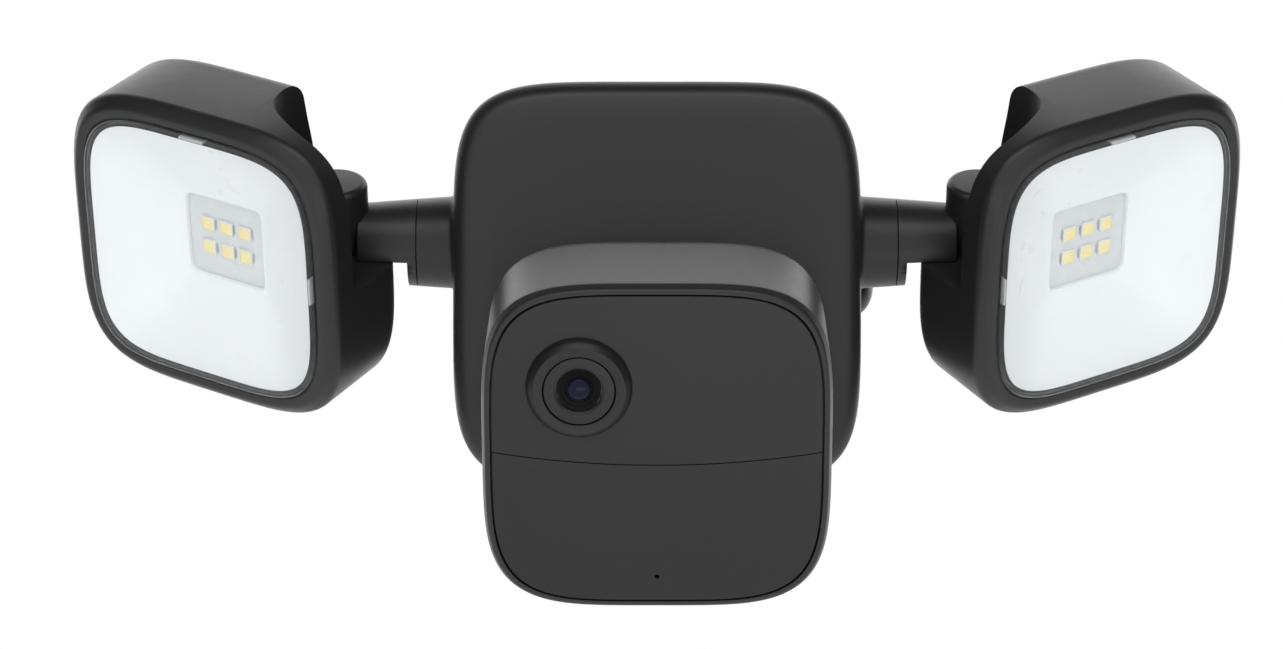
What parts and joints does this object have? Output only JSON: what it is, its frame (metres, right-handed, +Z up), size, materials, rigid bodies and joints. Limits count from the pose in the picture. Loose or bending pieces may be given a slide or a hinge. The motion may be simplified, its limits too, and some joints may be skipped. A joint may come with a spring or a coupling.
{
  "type": "floodlight security camera",
  "caption": "Battery floodlight camera: a rounded-square housing on a wall bracket, lamps on tilting arms at its sides and a square camera unit on a ball joint in front.",
  "frame": {"origin": "centre of the wall bracket's flat back face", "axes": "+Y into the wall, +Z up, +X to the right seen from in front; the camera and lamps look along -Y"},
  "size_m": [0.2566, 0.1495, 0.116],
  "materials": {
    "dark_housing": "fine-grained moulded polycarbonate, satin",
    "dark_face": "very fine grain, satin",
    "black_rubber": "matt",
    "steel": "zinc plated",
    "cell_jacket": "printed-film jacket over a steel can",
    "circuit_board": "solder mask",
    "white_board": "white solder mask",
    "reflector_white": "smooth white",
    "clear_cap": "clear polycarbonate",
    "lens_glass": "coated lens glass",
    "heat_sink": "extruded, satin",
    "nylon": "natural nylon"
  },
  "bodies": {
    "mount": {"front_housing": "dark_housing", "wall_bracket": "dark_housing", "battery_door": "dark_housing", "door_gasket": "black_rubber", "door_screw_1": "steel", "door_screw_2": "steel", "door_screw_3": "steel", "door_screw_4": "steel", "d_cell_1": "cell_jacket", "d_cell_2": "cell_jacket", "d_cell_3": "cell_jacket", "d_cell_4": "cell_jacket", "contact_plate_top": "steel", "contact_plate_bottom": "steel", "driver_board": "circuit_board", "release_spring": "steel", "socket_collar": "dark_housing", "socket_clamp": "nylon"},
    "release_button": {"release_button": "dark_housing"},
    "left_arm": {"left_arm": "dark_housing", "left_arm_seal": "black_rubber", "left_arm_nut": "steel"},
    "left_lamp": {"left_lamp_housing": "dark_housing", "left_lamp_lens": "clear_cap", "left_lens_gasket": "black_rubber", "left_reflector": "reflector_white", "left_led_board": "white_board", "left_heat_sink": "heat_sink", "left_pivot_pin": "steel"},
    "right_arm": {"right_arm": "dark_housing", "right_arm_seal": "black_rubber", "right_arm_nut": "steel"},
    "right_lamp": {"right_lamp_housing": "dark_housing", "right_lamp_lens": "clear_cap", "right_lens_gasket": "black_rubber", "right_reflector": "reflector_white", "right_led_board": "white_board", "right_heat_sink": "heat_sink", "right_pivot_pin": "steel"},
    "ball_liner": {"ball_liner": "nylon"},
    "ball_stem": {"ball_stem": "dark_housing"},
    "camera": {"camera_frame": "dark_housing", "camera_gasket": "black_rubber", "rear_cover": "dark_housing", "rear_cover_screw": "steel", "upper_face": "dark_face", "lower_face": "dark_face", "lens_bezel": "dark_housing", "lens_disc": "dark_face", "lens_glass": "lens_glass", "lens_barrel": "nylon", "camera_board": "circuit_board", "infrared_led": "lens_glass", "motion_sensor": "steel", "speaker": "nylon", "aa_cell_1": "cell_jacket", "aa_cell_2": "cell_jacket"}
  },
  "joints": [
    {"name": "release_press", "type": "slide", "parent": "mount", "child": "release_button", "axis": [-1, 0, 0], "range_m": [0, 0.002], "stiffness_N_per_m": 400, "springref_m": -0.002, "deforming": ["release_spring"]},
    {"name": "left_arm_tilt", "type": "hinge", "parent": "mount", "child": "left_arm", "pos_m": [-0.0702, -0.064, 0.0094], "axis": [-1, 0, 0], "range_deg": [-30, 60]},
    {"name": "left_lamp_turn", "type": "hinge", "parent": "left_arm", "child": "left_lamp", "pos_m": [-0.0702, -0.064, 0.0094], "axis": [0, 0.5, -0.866], "range_deg": [-22, 50]},
    {"name": "right_arm_tilt", "type": "hinge", "parent": "mount", "child": "right_arm", "pos_m": [0.0702, -0.064, 0.0094], "axis": [-1, 0, 0], "range_deg": [-30, 60]},
    {"name": "right_lamp_turn", "type": "hinge", "parent": "right_arm", "child": "right_lamp", "pos_m": [0.0702, -0.064, 0.0094], "axis": [0, -0.5, 0.866], "range_deg": [-22, 50]},
    {"name": "camera_pan", "type": "hinge", "parent": "mount", "child": "ball_liner", "pos_m": [0, -0.08676, -0.01421], "axis": [0, 0, 1], "range_deg": [-20, 20]},
    {"name": "camera_tilt", "type": "hinge", "parent": "ball_liner", "child": "ball_stem", "pos_m": [0, -0.08676, -0.01421], "axis": [-1, 0, 0], "range_deg": [-5, 36]},
    {"name": "camera_roll", "type": "hinge", "parent": "ball_stem", "child": "camera", "pos_m": [0, -0.08676, -0.01421], "axis": [0, 0.9304, 0.3665], "range_deg": [-15, 15]}
  ]
}
